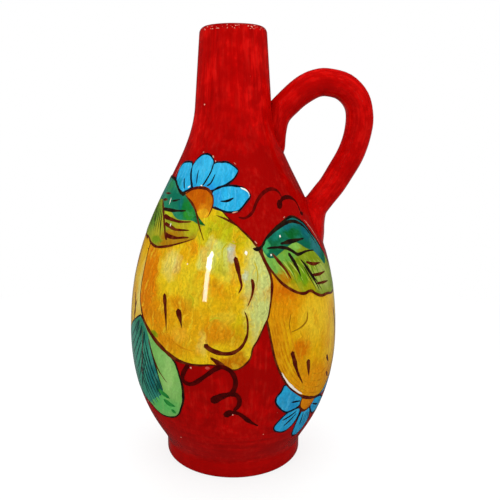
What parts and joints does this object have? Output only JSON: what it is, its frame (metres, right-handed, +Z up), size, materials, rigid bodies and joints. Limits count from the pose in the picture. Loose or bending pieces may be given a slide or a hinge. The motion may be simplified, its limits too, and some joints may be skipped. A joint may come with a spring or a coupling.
{
  "type": "oil and vinegar cruet",
  "caption": "Glazed earthenware cruet: a full-bellied bottle with a long neck, a low foot ring and a thick loop handle from neck to shoulder, for serving oil or vinegar.",
  "frame": {"origin": "centre of the foot ring's resting face, on the table", "axes": "+Z up along the bottle's turning axis to the mouth, +X towards the handle"},
  "size_m": [0.1348, 0.1174, 0.24],
  "materials": {
    "painted_glaze": "clear gloss glaze over brush painting",
    "red_glaze": "clear gloss glaze over brushed red",
    "lining_glaze": "gloss glaze"
  },
  "bodies": {
    "root": {"bottle": "painted_glaze", "foot_ring": "red_glaze", "handle": "red_glaze", "upper_lute": "red_glaze", "lower_lute": "red_glaze", "lining": "lining_glaze"}
  },
  "joints": []
}
